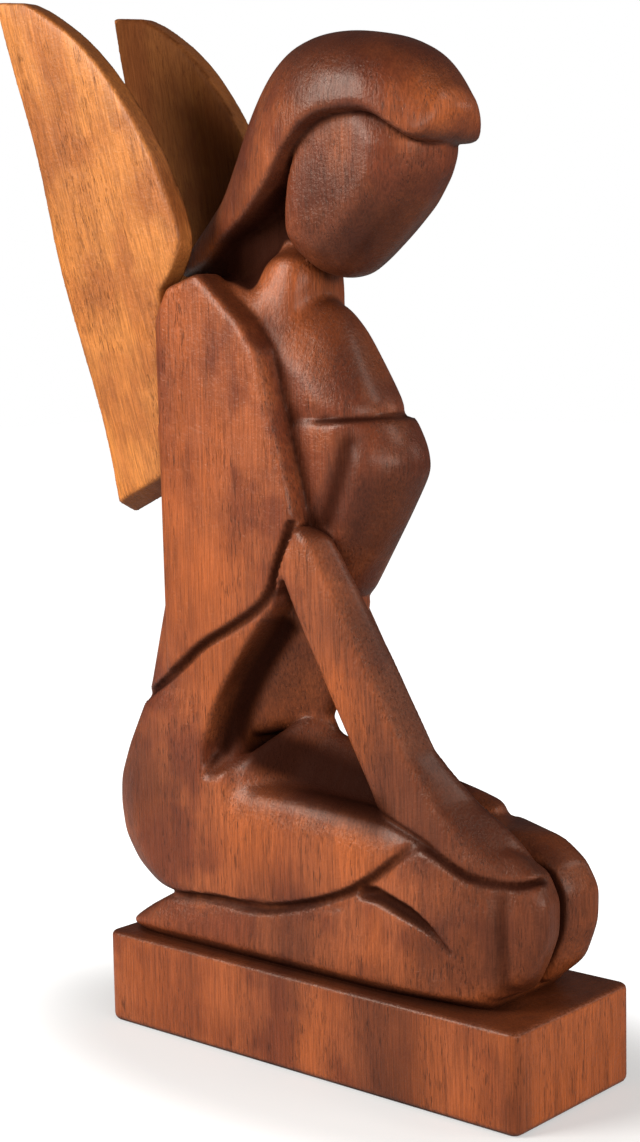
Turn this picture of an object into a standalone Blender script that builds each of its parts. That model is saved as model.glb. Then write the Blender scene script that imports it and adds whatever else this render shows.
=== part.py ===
"""Carved wooden kneeling angel: one carved block and two separate wings on dowels.

Metres, +Z up. The figure faces +X, its left side is +Y, and it is 0.300 m tall.
The origin is the centre of the plinth's underside. All places below are in
millimetres and are scaled to metres when a mesh is made.
"""

import math

import bmesh
import bpy
from mathutils import Matrix, Vector

MM = 0.001

# Driving dimensions, millimetres
PLINTH_LENGTH = 148.6
PLINTH_WIDTH = 52.6
PLINTH_HEIGHT = 27.4
PLINTH_CORNER = 3.2       # radius of the upright corners
PLINTH_EDGE = 1.2         # radius of the top and bottom rims
SIDE_FACE = 22.8          # half width across the sleeves and the hips
LEFT_ARM_SET_BACK = 24.0  # the left forearm lies this much further back than the right
SEAT_FACE = -50.0         # upright face that each wing's root edge is glued against
GLUE_GAP = 0.3            # space left for glue around a wing's root and a dowel
WING_THICKNESS = 7.6
WING_ROOT_OUTER = 18.0    # |y| of a wing's outer face at the foot of its root
WING_LEAN = 0.065         # outward lean for each millimetre of height
WING_FOOT_Z = 155.0
DOWEL_RADIUS = 1.5
DOWEL_LENGTH = 16.0
DOWEL_HEIGHTS = (172.0, 202.0)
EDGE_ROUND = 1.6          # radius on the carved masses' arrises
VOXEL = 1.25              # grid of the remesh that makes one body of the masses
VOXELS_KEPT = 0.065       # share of the remesh's faces that the decimation keeps
GROOVE_HALF_WIDTH = 1.3

# Smooth egg of the head, which has no features
HEAD_CENTRE = (13.4, 0.0, 242.0)
HEAD_RADII = (19.4, 16.0, 30.0)
HEAD_BOW = math.radians(41.0)

# Back outline from the seat to the shoulders: (x, z, radius of the back's corners in plan)
HIP_BACK = (
    (-63, 42, 14), (-72, 48, 14), (-77.5, 56, 14), (-79, 65, 14), (-78, 73, 13),
    (-73.5, 83, 12), (-65, 97, 10),
)
WAIST_BACK = ((-65, 97, 10), (-60.5, 102, 10), (-57.5, 108, 9), (-54.5, 122, 9), (-53.8, 136, 9))
UPPER_BACK = (
    (-54.5, 122, 9), (-53.8, 136, 9), (-54.5, 149, 9), (-56, 162, 9), (-57, 177, 9),
    (-57.3, 190, 9), (-56, 206, 10), (-50, 215, 12),
)

# Hood of hair: place along x, height of the rim, height of the crown, half width
HOOD_RIM = 2.0            # radius of the rim's lower edge
HOOD = (
    (-58.0, 221.0, 223.5, 1.5), (-52.0, 222.5, 230.0, 4.0), (-45.0, 224.5, 236.0, 6.5),
    (-38.0, 227.5, 244.0, 9.0), (-32.0, 230.3, 254.0, 11.0), (-26.0, 233.0, 265.0, 13.0),
    (-19.0, 237.0, 274.0, 15.5), (-12.0, 242.5, 279.0, 18.0), (-4.5, 250.5, 281.3, 19.5),
    (5.0, 257.0, 282.0, 20.3), (15.0, 258.7, 280.8, 20.0), (24.0, 257.7, 278.3, 19.0),
    (31.0, 254.5, 274.8, 17.3), (36.5, 249.5, 269.5, 14.8), (40.8, 247.8, 264.0, 11.5),
    (43.0, 250.0, 257.5, 6.0),
)

# Side outline of a wing, (x, z): up the rear edge to the tip, then the leading edge
WING_REAR = (
    (-109, 300), (-108.5, 297), (-104, 280), (-97.5, 259), (-94.5, 244), (-91, 223),
    (-84.5, 201), (-78.5, 182), (-75, 166), (-73, 150),
)
WING_FRONT = (
    (-50, 160), (-50, 222), (-44, 238), (-50, 256), (-61, 271), (-74, 285), (-89, 295),
    (-97, 298.5),
)

# Outline of a sleeve on its side face, (x, z), from the elbow up the front and down the back
SLEEVE = (
    (-50, 105), (-45, 108.4), (-36, 115.8), (-24.5, 121.5), (-14, 127.6), (-6.5, 134.4),
    (-3, 141.5), (-0.6, 151), (-2.4, 161), (-6.7, 175), (-9.6, 187), (-12.6, 198),
    (-18.5, 206), (-27, 212.3), (-34, 219.4), (-46, 215), (-50, 206),
)

# V grooves on each side face, (x, z)
SLEEVE_END = (
    (-50, 105), (-45, 108.4), (-36, 115.8), (-24.5, 121.5), (-14, 127.6), (-7, 134.4),
    (-3, 142), (-2, 150),
)
THIGH_END = (
    (-52, 40.5), (-35, 43), (-16, 42.6), (-4, 45.8), (9, 49.9), (19.3, 54.5), (28.5, 61.3),
    (35.5, 67.6), (41, 73),
)
CALF_LINE = ((23, 53.6), (34.5, 51.2), (45, 47.9), (52, 43.5))


def clear_scene():
    for old in list(bpy.data.objects):
        bpy.data.objects.remove(old, do_unlink=True)


def wood(name, colour, roughness):
    material = bpy.data.materials.new(name)
    material.use_nodes = True
    shader = material.node_tree.nodes["Principled BSDF"]
    shader.inputs["Base Color"].default_value = (*colour, 1.0)
    shader.inputs["Roughness"].default_value = roughness
    return material


def new_object(name, bm, material=None, helper=False):
    """An object in metres from a bmesh in millimetres."""
    bmesh.ops.recalc_face_normals(bm, faces=bm.faces)
    bmesh.ops.scale(bm, vec=(MM, MM, MM), verts=bm.verts)
    mesh = bpy.data.meshes.new(name)
    bm.to_mesh(mesh)
    bm.free()
    thing = bpy.data.objects.new(name, mesh)
    bpy.context.collection.objects.link(thing)
    if material:
        mesh.materials.append(material)
    if helper:
        thing.hide_render = True
        thing.display_type = "WIRE"
    return thing


def mirrored(points):
    return list(points) + [(x, -y, z) for x, y, z in points]


def add_hull(bm, points, radius=EDGE_ROUND):
    """A convex mass through the given corners, its arrises rounded by small spheres."""
    middle = sum((Vector(p) for p in points), Vector()) / len(points)
    cloud = bmesh.new()
    for point in points:
        offset = Vector(point) - middle
        inset = [math.copysign(min(radius, abs(o)), o) for o in offset]
        centre = Vector(point) - Vector(inset)
        bmesh.ops.create_icosphere(
            cloud, subdivisions=1, radius=radius, matrix=Matrix.Translation(centre)
        )
    bmesh.ops.delete(cloud, geom=cloud.faces[:], context="FACES_ONLY")
    bmesh.ops.delete(cloud, geom=cloud.edges[:], context="EDGES_FACES")
    hull = bmesh.ops.convex_hull(cloud, input=cloud.verts[:], use_existing_faces=False)
    spare = [g for g in hull["geom_interior"] if isinstance(g, bmesh.types.BMVert)]
    bmesh.ops.delete(cloud, geom=spare, context="VERTS")
    mesh = bpy.data.meshes.new("hull")
    cloud.to_mesh(mesh)
    cloud.free()
    bm.from_mesh(mesh)
    bpy.data.meshes.remove(mesh)


def ring_loft(bm, rings):
    """A closed solid through rings of equal point counts, with capped ends."""
    loops = [[bm.verts.new(p) for p in ring] for ring in rings]
    for a, b in zip(loops, loops[1:]):
        for i in range(len(a)):
            j = (i + 1) % len(a)
            bm.faces.new((a[i], a[j], b[j], b[i]))
    bm.faces.new(loops[0])
    bm.faces.new(reversed(loops[-1]))


def back_corner(outline, half_width):
    """Corners of a mass whose back follows outline and is round in plan."""
    points = []
    for x, z, radius in outline:
        for turn in (0, 45, 90):
            a = math.radians(turn)
            across = half_width - radius + radius * math.sin(a)
            points.append((x + radius - radius * math.cos(a), across, z))
    return points


def arm_x(x, z, side):
    """The left arm is set back: its sleeve narrows towards the elbow."""
    if side < 0:
        return x
    drop = min(1.0, max(0.0, (200.0 - z) / 50.0))
    width = (x + 50.0) * (1.0 - 0.5 * drop)
    return -50.0 + width


def side_points(points, side, shift=0.0):
    return [(x - shift, side * y, z) for x, y, z in points]


def add_legs(bm):
    calves = (
        (-67, 14, 26.5), (-72.5, 16, 29.5), (-70, 21, 30), (-58, 19, 26.5), (-60, 23, 31),
        (-62, 19, 36), (-50, 20, 42.5), (-4, 22.5, 44), (24, 22.5, 51), (20, 23, 31),
        (20, 19, 26.5), (57, 14, 26.5), (61, 17, 30.5), (48, 22.5, 31), (51, 21, 44.5),
    )
    add_hull(bm, mirrored(calves))
    thighs = (
        (-34, 22.8, 77.5), (0, 22.8, 77), (25, 21.8, 74.5), (39, 20.8, 71.8), (-34, 22.8, 43),
        (-2, 22.8, 45.5), (18, 22.5, 54), (28, 22, 61), (-6, 4, 91), (20, 4, 83.5),
        (40, 4, 77), (52, 4, 72.5), (-30, 10, 86), (50, 15, 66), (50, 10, 45),
    )
    add_hull(bm, mirrored(thighs))
    for side in (-1, 1):
        knee = (
            (24, 21.5, 52), (40, 21, 70.5), (54.5, 20, 62), (60, 19.5, 52.5), (60.5, 17.5, 31),
            (63.5, 2.2, 31), (67.5, 1.4, 39), (70.5, 1.2, 47), (70.8, 1.2, 56), (67.5, 1.4, 64),
            (74.5, 12, 57), (74, 12, 48), (70, 12, 38), (71.5, 11, 65), (64, 11, 70.5),
            (50, 4, 72.5), (24, 1, 60), (24, 1, 31), (24, 21, 31),
        )
        add_hull(bm, side_points(knee, side))


def add_trunk(bm):
    hips = back_corner(HIP_BACK, SIDE_FACE)
    hips += [(-40, 22.8, 88), (-40, 22.8, 76), (-24, 22.8, 76), (-20, 22.8, 43), (-33, 22.8, 98)]
    add_hull(bm, mirrored(hips))
    waist = back_corner(WAIST_BACK, SIDE_FACE)
    waist += [(-39, 22.8, 90), (-32.5, 22.8, 99.5), (-21.5, 22.8, 115)]
    waist += [(-13, 22.8, 126.5), (-8, 22.8, 133)]
    add_hull(bm, mirrored(waist))
    upper = back_corner(UPPER_BACK, SIDE_FACE)
    upper += [(-22, 20, 205), (-34, 21, 219), (-38, 18, 221), (-18, 20, 130), (-18, 20, 200)]
    add_hull(bm, mirrored(upper))
    abdomen = (
        (-11, 3, 97), (-20, 9, 93), (-45, 14, 84), (-9, 3, 90), (6, 3.5, 130), (-1, 12, 130),
        (-45, 14, 130), (18, 4, 153), (10, 13.5, 153), (-34, 16, 152), (-34, 16, 140),
    )
    add_hull(bm, mirrored(abdomen))
    bust = (
        (25, 3, 168), (22.5, 9, 168), (15, 15, 168), (21, 3, 179.8), (18.5, 9, 179.8),
        (11, 14.8, 179.8), (-34, 16, 179.8), (-34, 16, 150), (9, 14, 151), (17.5, 4, 151),
    )
    add_hull(bm, mirrored(bust), 1.0)
    chest = (
        (19.4, 3, 181), (17, 9, 181), (9.4, 13.6, 181), (13, 3, 190), (10, 9, 190), (3, 12.8, 190),
        (6.5, 3, 202), (3, 8, 202), (-6, 11, 202), (1.5, 2, 209.5), (-28, 12, 213), (-34, 17, 219),
        (-34, 16, 178), (-6, 15, 178),
    )
    add_hull(bm, mirrored(chest))
    neck = (
        (-2.5, 3.5, 209), (-2.5, 3.5, 220), (-9, 9, 208), (-8, 9, 222), (-30, 12, 214),
        (-26, 11, 224), (-46, 9, 214), (-50, 4, 224), (-12, 13, 246), (-26, 10, 238), (-3, 9, 228),
    )
    add_hull(bm, mirrored(neck))


def add_arm(bm, side):
    points = []
    for x, z in SLEEVE:
        placed = arm_x(x, z, side)
        points += [(placed, side * (SIDE_FACE + 0.2), z), (placed, side * 12.5, z)]
    add_hull(bm, points)
    forearm = (
        (-6, 22.8, 138), (-0.6, 22.8, 149.5), (6.5, 22.3, 142.5), (10.8, 13, 143.1), (6, 14, 149),
        (-4, 12, 140), (22.3, 19, 81.6), (25.3, 19, 76), (39.2, 19, 83.8), (42.5, 9.5, 85.3),
        (22.6, 20.5, 112.8), (25.8, 11, 115), (10.3, 21, 107.8), (20, 9, 80),
    )
    hand = (
        (22.3, 19, 81.6), (25.3, 19, 75), (39.2, 19, 83.8), (42.5, 8, 85.3), (37.7, 19.3, 71.2),
        (47.2, 19, 67), (53.6, 18.5, 63), (59, 18, 61.5), (62, 11, 59.5), (64, 5, 60.5),
        (66, 3.6, 63.5), (59.5, 5.5, 73.2), (49, 7, 79.8), (20, 8, 78), (62.5, 14, 64.5),
    )
    shift = LEFT_ARM_SET_BACK if side > 0 else 0.0
    lift = 0.16 * shift
    add_hull(bm, side_points(forearm, side, shift))
    add_hull(bm, [(x, y, z + lift) for x, y, z in side_points(hand, side, shift)])


def add_head(bm):
    bow = Matrix.Rotation(HEAD_BOW, 4, "Y")
    place = Matrix.Translation(HEAD_CENTRE) @ bow @ Matrix.Diagonal((*HEAD_RADII, 1.0))
    bmesh.ops.create_uvsphere(bm, u_segments=28, v_segments=18, radius=1.0, matrix=place)
    rings = []
    for x, low, high, half in HOOD:
        ring = []
        for i in range(24):
            a = math.radians(360.0 * i / 24)
            y = half * math.copysign(abs(math.cos(a)) ** 0.85, math.cos(a))
            rise = abs(math.sin(a)) ** 0.85
            height = (high - low - HOOD_RIM) * rise if math.sin(a) >= 0 else -HOOD_RIM * rise
            ring.append((x, y, low + HOOD_RIM + height))
        rings.append(ring)
    ring_loft(bm, rings)


def plinth_mesh():
    bm = bmesh.new()
    box = Matrix.Diagonal((PLINTH_LENGTH, PLINTH_WIDTH, PLINTH_HEIGHT, 1.0))
    middle = Matrix.Translation((0, 0, PLINTH_HEIGHT / 2))
    bmesh.ops.create_cube(bm, size=1.0, matrix=middle @ box)
    upright = [e for e in bm.edges if abs(e.verts[0].co.z - e.verts[1].co.z) > 1.0]
    bmesh.ops.bevel(bm, geom=upright, offset=PLINTH_CORNER, segments=5, profile=0.5, affect="EDGES")
    rims = [e for e in bm.edges if len({round(v.co.z, 3) for v in e.verts}) == 1]
    bmesh.ops.bevel(bm, geom=rims, offset=PLINTH_EDGE, segments=2, profile=0.5, affect="EDGES")
    return bm


def modifier(thing, kind, **settings):
    added = thing.modifiers.new(kind.title(), kind)
    for key, value in settings.items():
        setattr(added, key, value)
    return added


def swept_groove(path, half_width):
    """A diamond-section cutter along a path, which leaves a V groove where it lies in a face."""
    bm = bmesh.new()
    points = [Vector(p) for p in path]
    points.insert(0, points[0] + (points[0] - points[1]).normalized())
    points.append(points[-1] + (points[-1] - points[-2]).normalized())
    rings = []
    for i, point in enumerate(points):
        before, after = points[max(i - 1, 0)], points[min(i + 1, len(points) - 1)]
        along = (after - before).normalized()
        out = Vector((0, 1, 0)) if abs(along.y) < 0.9 else Vector((1, 0, 0))
        across = along.cross(out).normalized() * half_width
        out = across.cross(along).normalized() * half_width * 1.2
        rings.append([point + across, point + out, point - across, point - out])
    ring_loft(bm, rings)
    return bm


def wing_outer(x, z):
    return WING_ROOT_OUTER + WING_LEAN * (z - WING_FOOT_Z)


def wing_mesh(side, grow=0.0, outline=None):
    """A leaning board: the outline on its outer face and again on its inner face."""
    outline = outline or list(WING_REAR) + list(WING_FRONT)
    outer = [(x, side * (wing_outer(x, z) + grow), z) for x, z in outline]
    inner = [(x, side * (wing_outer(x, z) - WING_THICKNESS - grow), z) for x, z in outline]
    bm = bmesh.new()
    ring_loft(bm, [outer, inner])
    return bm


def dowel_mesh(side, height, radius, extra=0.0):
    bm = bmesh.new()
    across = side * (wing_outer(SEAT_FACE, height) - WING_THICKNESS / 2)
    lying = Matrix.Rotation(math.radians(90), 4, "Y")
    place = Matrix.Translation((SEAT_FACE, across, height)) @ lying
    bmesh.ops.create_cone(
        bm, cap_ends=True, segments=16, radius1=radius, radius2=radius,
        depth=DOWEL_LENGTH + 2 * extra, matrix=place,
    )
    return bm


def figure_cutters():
    """Everything that is cut from the block after its masses are joined."""
    cutters = bpy.data.collections.new("figure_cutters")
    bpy.context.scene.collection.children.link(cutters)
    cutters.hide_render = True
    meshes = []
    for side in (-1, 1):
        face = side * SIDE_FACE
        sleeve_end = [(arm_x(x, z, side), face, z) for x, z in SLEEVE_END]
        sleeve_end.insert(0, (-63, side * 18.5, 97.5))
        meshes.append(swept_groove(sleeve_end, GROOVE_HALF_WIDTH * 1.3))
        meshes.append(swept_groove([(x, face, z) for x, z in THIGH_END], GROOVE_HALF_WIDTH))
        meshes.append(swept_groove([(x, side * 21.8, z) for x, z in CALF_LINE], GROOVE_HALF_WIDTH))
        seat = SEAT_FACE + GLUE_GAP
        housing = [(-80, 150), (seat, WING_FOOT_Z + 4.0), (seat, 240), (-80, 240)]
        meshes.append(wing_mesh(side, GLUE_GAP, housing))
        for height in DOWEL_HEIGHTS:
            meshes.append(dowel_mesh(side, height, DOWEL_RADIUS + GLUE_GAP, GLUE_GAP))
    for i, bm in enumerate(meshes):
        cutter = new_object(f"figure_cutter_{i}", bm, helper=True)
        bpy.context.collection.objects.unlink(cutter)
        cutters.objects.link(cutter)
    return cutters


def carved_figure(material):
    bm = bmesh.new()
    add_legs(bm)
    add_trunk(bm)
    for side in (-1, 1):
        add_arm(bm, side)
    add_head(bm)
    figure = new_object("carved_figure", bm, material)
    modifier(figure, "REMESH", mode="VOXEL", voxel_size=VOXEL * MM)
    modifier(figure, "SMOOTH", factor=0.5, iterations=3)
    modifier(figure, "DECIMATE", ratio=VOXELS_KEPT)
    plinth = new_object("plinth_block", plinth_mesh(), helper=True)
    modifier(figure, "BOOLEAN", operation="UNION", object=plinth)
    modifier(
        figure, "BOOLEAN", operation="DIFFERENCE", operand_type="COLLECTION",
        collection=figure_cutters(),
    )


def wing(name, side, material):
    board = new_object(name, wing_mesh(side), material)
    modifier(board, "BEVEL", width=0.9 * MM, segments=2, limit_method="ANGLE")
    for height in DOWEL_HEIGHTS:
        bore_mesh = dowel_mesh(side, height, DOWEL_RADIUS + GLUE_GAP, GLUE_GAP)
        bore = new_object(f"{name}_bore_{height:.0f}", bore_mesh, helper=True)
        modifier(board, "BOOLEAN", operation="DIFFERENCE", object=bore)


def build():
    clear_scene()
    body_wood = wood("body_wood", (0.20, 0.075, 0.035), 0.38)
    wing_wood = wood("wing_wood", (0.36, 0.17, 0.07), 0.42)
    dowel_wood = wood("dowel_wood", (0.45, 0.30, 0.16), 0.6)
    carved_figure(body_wood)
    for name, side in (("right_wing", -1), ("left_wing", 1)):
        wing(name, side, wing_wood)
        for place, height in zip(("lower", "upper"), DOWEL_HEIGHTS):
            dowel = dowel_mesh(side, height, DOWEL_RADIUS)
            new_object(f"{name}_{place}_dowel", dowel, dowel_wood)


build()
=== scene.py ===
"""Looks of the carved kneeling angel: one block of reddish wood and two lighter wing boards.

The carved part of the block and the wings are each made as a field of distances, in
millimetres, from the same masses as the CAD model, with softer arrises, fillets, chisel
work and V grooves. A surface is then drawn through each field. The plinth is a bevelled
box in the same wood, and the hidden dowels stay as the CAD has them.
"""

import math

import bmesh
import bpy
import numpy as np
from mathutils import Matrix, Vector


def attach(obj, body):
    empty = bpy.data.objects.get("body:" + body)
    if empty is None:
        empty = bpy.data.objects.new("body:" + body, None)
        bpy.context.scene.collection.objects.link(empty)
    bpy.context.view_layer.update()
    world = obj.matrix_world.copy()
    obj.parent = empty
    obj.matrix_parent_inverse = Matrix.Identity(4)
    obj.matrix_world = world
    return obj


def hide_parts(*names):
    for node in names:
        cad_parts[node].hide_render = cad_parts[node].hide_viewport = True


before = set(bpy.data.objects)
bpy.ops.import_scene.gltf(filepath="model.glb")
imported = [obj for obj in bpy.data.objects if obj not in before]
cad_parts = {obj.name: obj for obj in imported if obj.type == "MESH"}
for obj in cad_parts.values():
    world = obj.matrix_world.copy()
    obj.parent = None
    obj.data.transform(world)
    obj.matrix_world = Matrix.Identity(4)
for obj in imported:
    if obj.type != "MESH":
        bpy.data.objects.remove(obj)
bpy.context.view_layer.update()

MM = 0.001

# ------------------------ dimensions, millimetres

PLINTH_LENGTH = 148.6
PLINTH_WIDTH = 52.6
PLINTH_HEIGHT = 27.4
PLINTH_CORNER = 3.2
SIDE_FACE = 22.8
SLEEVE_REAR = -50.0
LEFT_FOREARM_BACK = 27.5  # how far the left forearm lies behind the right one
LEFT_FOREARM_LEAN = 0.03
LEFT_WRIST_LIFT = 4.4     # for its corners below WRIST_TOP
WRIST_TOP = 90.0
WRIST_MIDDLE = 84.0
SEAT_FACE = -50.0         # where the wings stand against the back
HOUSING_RISE = 3.5        # the wings' housings start this far above their feet
GLUE_GAP = 0.3
WING_THICKNESS = 7.6
WING_ROOT_OUTER = 18.0
WING_LEAN = 0.065
WING_FOOT_Z = 155.0
WING_TOP_Z = 302.0
WING_FOOT_CUT = 154.5     # height of the sawn foot at the boards' rear corner
WING_FOOT_RISE = 0.43     # its rise for each millimetre forward
WING_REAR_X = -73.0
WING_CROWN = 0.55         # how far the boards' faces fall away towards their rim
WING_CROWN_REACH = 9.0
WING_SOFT = 0.45          # softening of the boards' arrises
PLINTH_TOP_RIM = 1.4      # widths of the plinth's worn rims
PLINTH_FOOT_RIM = 2.2
PLINTH_CELL = 2           # spacing of the plinth's vertices, which carry the stain and painted shade
BODY_STEP = 0.9           # grid of the block's field
WING_STEP = 0.75
FAR = 50.0                # what a field says where nothing has been added yet
BODY_LOW = (-84, -27, 24)
BODY_HIGH = (79, 27, 286)

HIP_BACK = (
    (-63, 42, 14), (-72, 48, 14), (-77.5, 56, 14), (-79, 65, 14), (-78, 73, 13),
    (-73.5, 83, 12), (-65, 97, 10),
)
WAIST_BACK = ((-65, 97, 10), (-60.5, 102, 10), (-57.5, 108, 9), (-54.5, 122, 9), (-53.8, 136, 9))
UPPER_BACK = (
    (-54.5, 122, 9), (-53.8, 136, 9), (-54.5, 149, 9), (-56, 162, 9), (-57, 177, 9),
    (-57.3, 190, 9), (-56, 206, 10), (-50, 215, 12),
)

FLATTER = 0.45            # grooves reach deeper across the block than they are wide
STAIN_AND_SHADE_FULL = 1.12         # a groove's stain and painted shade is full near its line and then fades
STAIN_AND_SHADE_SPREAD = 0.35
RECESS_FLOOR = 226.0      # the hollow between the hood and the head, darkened with stain and painted shade: floor, front and half width
RECESS_FRONT = -9.0
RECESS_HALF = 14.0
KNEE_GAP_HALF = 2.1       # the painted shade between the knees: half width, rear, bottom and top
KNEE_GAP_REAR = 50.0
KNEE_GAP_LOW = 30.0
KNEE_GAP_HIGH = 66.0
HOOD_RIM = 2.0
HOOD_OVAL = 2.35          # exponent of the hood's cross-section, between an oval and a box
# stations of the hood: x, the height of its rim, the height of its top and its half width
HOOD = (
    (-61.0, 218.5, 222.5, 1.5), (-53.0, 220.0, 230.0, 4.5), (-45.0, 222.8, 237.0, 7.0),
    (-38.0, 227.5, 244.0, 9.0), (-32.0, 230.3, 254.0, 11.0), (-26.0, 233.0, 265.0, 13.0),
    (-19.0, 237.0, 274.0, 15.5), (-12.0, 242.5, 279.0, 18.0), (-4.5, 250.5, 281.3, 19.5),
    (5.0, 257.0, 282.0, 20.3), (15.0, 258.7, 280.8, 20.0), (24.0, 257.7, 278.3, 19.0),
    (31.0, 253.0, 274.2, 17.0), (34.5, 250.6, 270.6, 15.0), (37.5, 251.4, 266.6, 12.2),
    (39.8, 254.6, 263.0, 8.8), (41.3, 258.0, 260.4, 4.0),
)

WING_REAR = (
    (-109, 300), (-108.5, 297), (-104, 280), (-97.5, 259), (-94.5, 244), (-91, 223),
    (-84.5, 201), (-78.5, 182), (-75, 166), (-73, 150),
)
WING_FRONT = (
    (-50, 160), (-50, 214.5), (-45.5, 219), (-41, 226), (-41, 232), (-44, 241), (-51, 256),
    (-61, 271), (-74, 285), (-89, 295), (-97, 298.5),
)

SLEEVE = (
    (-50, 105), (-45, 108.4), (-36, 115.8), (-24.5, 121.5), (-14, 127.6), (-6.5, 134.4),
    (-3, 141.5), (-0.6, 151), (-2.4, 161), (-6.7, 175), (-9.6, 187), (-12.6, 198),
    (-18.5, 206), (-27, 212.3), (-34, 219.4), (-46, 215.8), (-51, 207),
)

SLEEVE_END = (
    (-50, 105), (-45, 108.4), (-36, 115.8), (-24.5, 121.5), (-14, 127.4), (-9.4, 132.4),
    (-7.6, 138.2), (-4.4, 145.5), (-1.6, 151.5),
)
THIGH_END = (
    (-60, 41), (-52, 40.5), (-35, 43), (-16, 42.6), (-4, 45.8), (9, 49.9), (19.3, 54.5),
    (28.5, 61.3), (35.5, 67.6), (41, 73),
)
CALF_LINE = ((21, 54.6), (28, 53.8), (37, 51.4), (45, 47.6), (50, 42.6))
NECKLINE = ((2, 15.5, 179.4), (9, 14.7, 179.6), (15.9, 9.3, 179.8), (18.8, 3, 180), (18.8, 0, 180))
# paths of bands of painted shade: along the floor of the hollow under each arm, and along the lap's
# valley
CAVITY_FLOOR = ((-34, 13, 86), (-31, 13, 96), (-25, 12, 107), (-12, 12, 122))
LAP_VALLEY = ((-19, 12, 86), (-6, 11, 82), (8, 10.5, 79), (24, 9.5, 75.5))
HAND_EDGE = (
    (24.5, 20.6, 75.7), (33, 20.6, 72.6), (37, 20.6, 71.3), (46.5, 20.3, 67), (53, 19.6, 63.5),
    (59, 18.6, 62.4), (64, 16, 61.6), (69, 12, 61.8), (72, 7, 63.5), (72, 3, 65.5),
)
# the hollow under each arm, between the waist, the abdomen and the lap
CAVITY = (
    (-37.2, 27, 73.5), (-36.6, 27, 91), (-30, 27, 101), (-19.8, 27, 116), (-12, 27, 127),
    (-38, 15.5, 83), (-29, 14, 106), (-14, 14, 124), (-30.5, 19.5, 80.5), (-21, 13, 92.5),
    (-27, 10, 96), (-18, 27, 89), (-8, 27, 101), (-6, 27, 120),
)
# shallow flutes on each side, beside the bust and down the front of the knee, darkened with painted
# shade: path, half
# # width, depth and the strength of the painted shade
FLUTES = (
    (((12, 14.4, 173), (10.8, 14.2, 168), (8, 13.8, 161), (4, 13.4, 152)), 5.6, 1.3, 0.6),
    (((63.5, 18.4, 58), (63.8, 18, 46), (63.5, 17.6, 34)), 3.4, 1.4, 0.5),
)

# where the block's colour is warmer, partly wood tone and partly painted light, and where it is
# duller, partly wood tone and partly painted shade: x, y, z and reach
WARM_AND_LIT_PATCHES = (
    (-30, -22, 106, 12), (-18, -22, 64, 14), (18, -22, 66, 10), (59, -26, 12, 9),
    (-30, -26, 14, 12), (6, -26, 12, 10), (-56, -26, 14, 15), (75, -6, 13, 22),
    (-35, -23, 134, 18), (43, -23, 37, 7), (14, -21, 96, 9), (75, 8, 15, 26),
    (-15, -11, 219, 9), (-15, 11, 219, 9), (-12, -9, 103, 9), (-30, 22, 110, 14),
    (0, 24, 60, 16), (-74, 5, 60, 16), (-45, 26, 14, 16), (30, 26, 14, 12),
    (12, -24, 110, 9), (18, -24, 94, 8), (41, -8, 263, 10),
)
DULL_AND_SHADED_PATCHES = (
    (-62, -20, 74, 16), (30, -26, 20, 13), (34, -26, 8, 12), (-6, -26, 15, 5),
    (-72, -26, 12, 6), (60, -20, 46, 16), (50, -14, 73, 14), (0, -4, 280, 22),
    (12, -12, 232, 15), (22, -6, 152, 16), (-4, -22, 36, 14), (66, 12, 50, 14),
    (22, -12, 118, 12), (-50, 20, 60, 18), (9, -14, 233, 11), (26, -12, 88, 14),
    (40, -12, 78, 14), (66, -10, 56, 14), (16, 0, 160, 16), (-55, 0, 130, 20),
    (40, 22, 40, 16), (-20, 22, 180, 20), (74, -26, 5, 5), (74, -26, 13, 5),
    (74, -26, 21, 5), (-20, -10, 108, 16), (0, -6, 80, 14), (10, -8, 196, 13),
    (46, -22, 40, 10), (33, -26, 14, 12), (-30, 0, 262, 16), (12, -15, 126, 8),
    (26, -10, 102, 10), (12, -19, 269, 13), (-31, -13, 243, 12),
)


# ------------------------ fields of distance

class Field:
    """Signed distances on a regular grid: negative in the wood."""

    def __init__(self, low, high, step):
        self.step = step
        self.axes = []
        for a, b in zip(low, high):
            count = int(round((b - a) / step)) + 1
            self.axes.append((a + step * np.arange(count)).astype(np.float32))
        self.value = np.full([len(a) for a in self.axes], FAR, np.float32)
        # stain in grooves, and painted shade in valleys, recesses, the knee gap and the wings'
        # inner faces
        self.stain_and_shade = np.zeros_like(self.value)
        self.share = None  # how much of each cell is wood, set once the piece is made

    def window(self, low, high):
        """The slices of the grid that cover a box."""
        cut = []
        for axis, a, b in zip(self.axes, low, high):
            first = max(0, int((a - axis[0]) / self.step))
            last = min(len(axis), int((b - axis[0]) / self.step) + 2)
            cut.append(slice(first, last))
        return tuple(cut)

    def places(self, window=(slice(None), slice(None), slice(None))):
        x, y, z = (axis[cut] for axis, cut in zip(self.axes, window))
        return x[:, None, None], y[None, :, None], z[None, None, :]

    def join(self, window, other, blend):
        """Smooth union, with a fillet about as wide as blend."""
        mine = self.value[window]
        share = np.clip(0.5 + 0.5 * (mine - other) / blend, 0.0, 1.0)
        self.value[window] = mine + (other - mine) * share - blend * share * (1.0 - share)

    def cut(self, window, other, blend):
        """Smooth removal of the space where other is negative."""
        mine = self.value[window]
        share = np.clip(0.5 - 0.5 * (mine + other) / blend, 0.0, 1.0)
        self.value[window] = mine + (-other - mine) * share + blend * share * (1.0 - share)


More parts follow.
